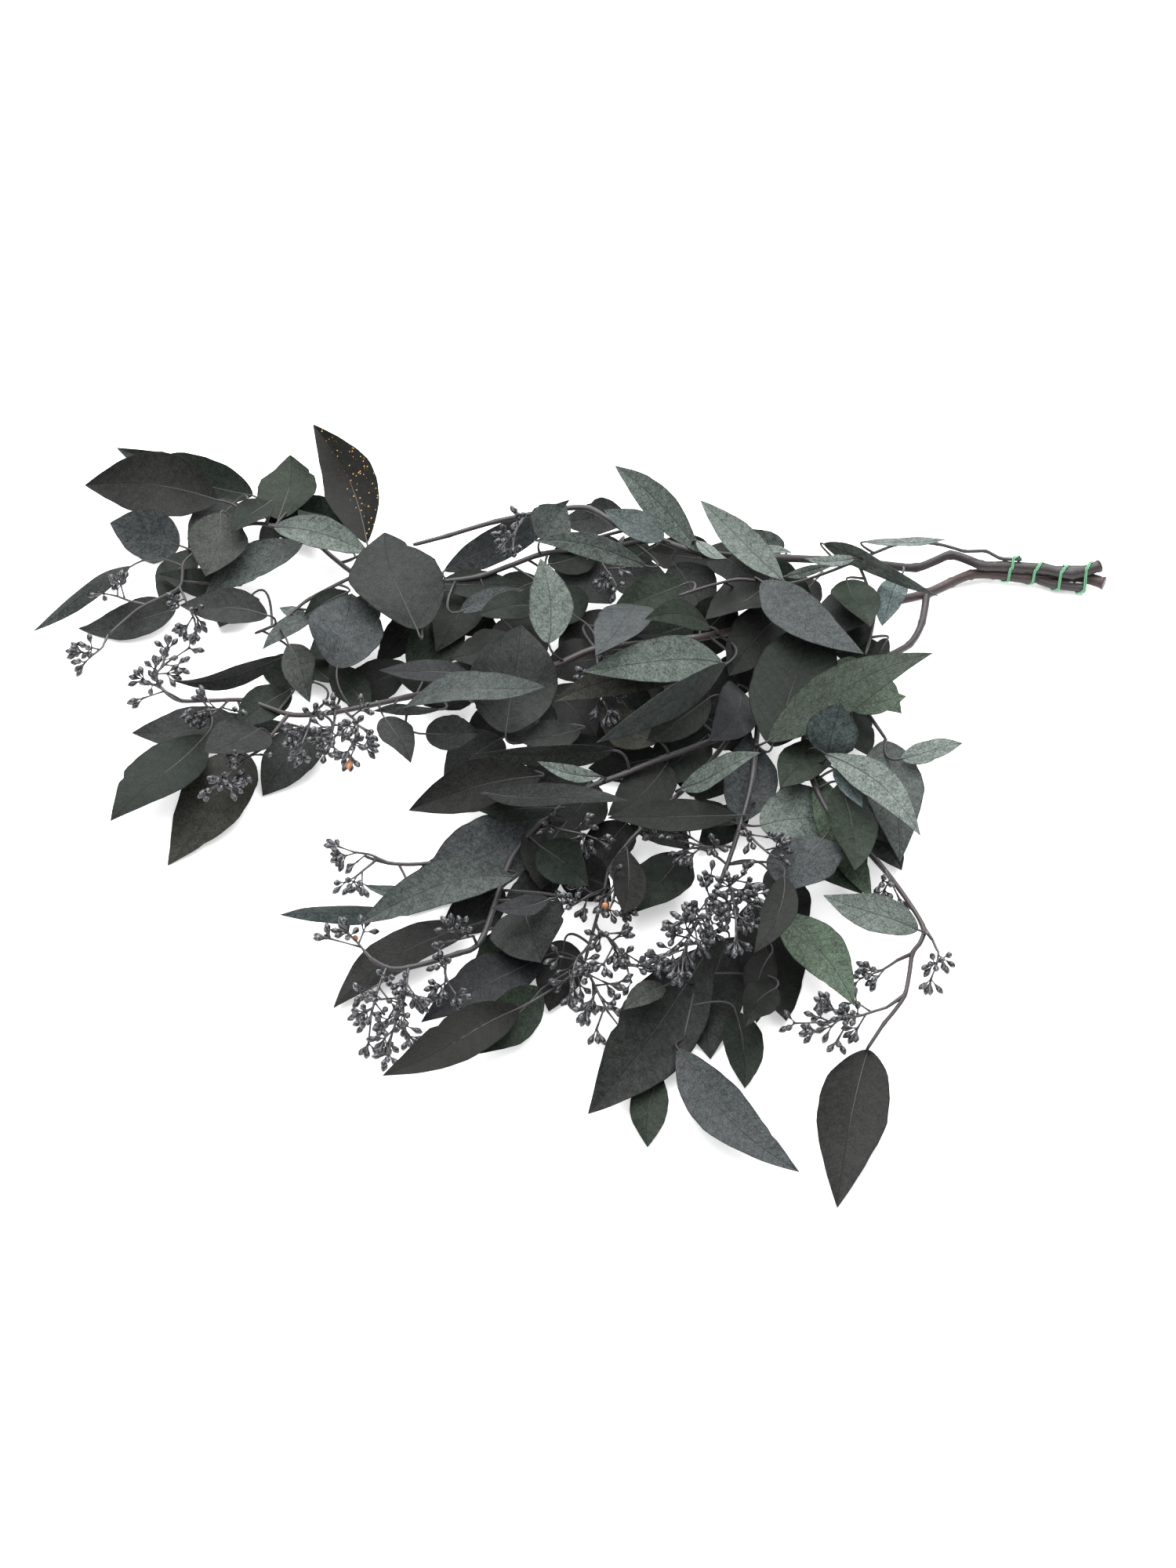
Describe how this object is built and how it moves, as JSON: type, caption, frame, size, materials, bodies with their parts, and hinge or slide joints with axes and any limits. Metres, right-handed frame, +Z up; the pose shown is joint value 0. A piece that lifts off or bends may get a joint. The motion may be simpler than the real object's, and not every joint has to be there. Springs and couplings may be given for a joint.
{
  "type": "eucalyptus gum nut bunch",
  "caption": "Tied bunch of preserved eucalyptus stems with grey-green leaves and sprays of small gum nuts, lying down, cut ends wound with green string",
  "frame": {"origin": "middle of the bunch's footprint, on the surface that it lies on", "axes": "+X along the bunch towards the tied cut ends, +Z up from the surface"},
  "size_m": [0.6293, 0.567, 0.0994],
  "materials": {
    "leaf": "matte dark grey-green preserved leaf",
    "bark": "smooth dark purple-brown bark",
    "gum_nut": "charcoal nut with a slight sheen",
    "string": "twisted mint green string"
  },
  "bodies": {
    "root": {"leafy_stem_brown": "leaf", "leafy_stem_dark": "leaf", "leafy_stem_thin": "leaf", "leafy_stem_front": "leaf", "nut_spray_01": "gum_nut", "nut_spray_02": "gum_nut", "nut_spray_03": "gum_nut", "nut_spray_04": "gum_nut", "nut_spray_05": "gum_nut", "nut_spray_06": "gum_nut", "nut_spray_07": "gum_nut", "nut_spray_08": "gum_nut", "nut_spray_09": "gum_nut", "nut_spray_10": "gum_nut", "nut_spray_11": "gum_nut", "nut_spray_12": "gum_nut", "nut_spray_13": "gum_nut", "nut_spray_14": "gum_nut", "nut_spray_15": "gum_nut", "nut_spray_16": "gum_nut", "nut_spray_17": "gum_nut", "nut_spray_18": "gum_nut", "nut_spray_19": "gum_nut", "nut_spray_20": "gum_nut", "nut_spray_21": "gum_nut", "nut_spray_22": "gum_nut", "nut_spray_23": "gum_nut", "nut_spray_24": "gum_nut", "nut_spray_25": "gum_nut", "nut_spray_26": "gum_nut", "nut_spray_27": "gum_nut", "nut_spray_28": "gum_nut", "nut_spray_29": "gum_nut", "nut_spray_30": "gum_nut", "nut_spray_31": "gum_nut", "nut_spray_32": "gum_nut", "nut_spray_33": "gum_nut", "nut_spray_34": "gum_nut", "nut_spray_35": "gum_nut", "tie_string": "string"}
  },
  "joints": []
}
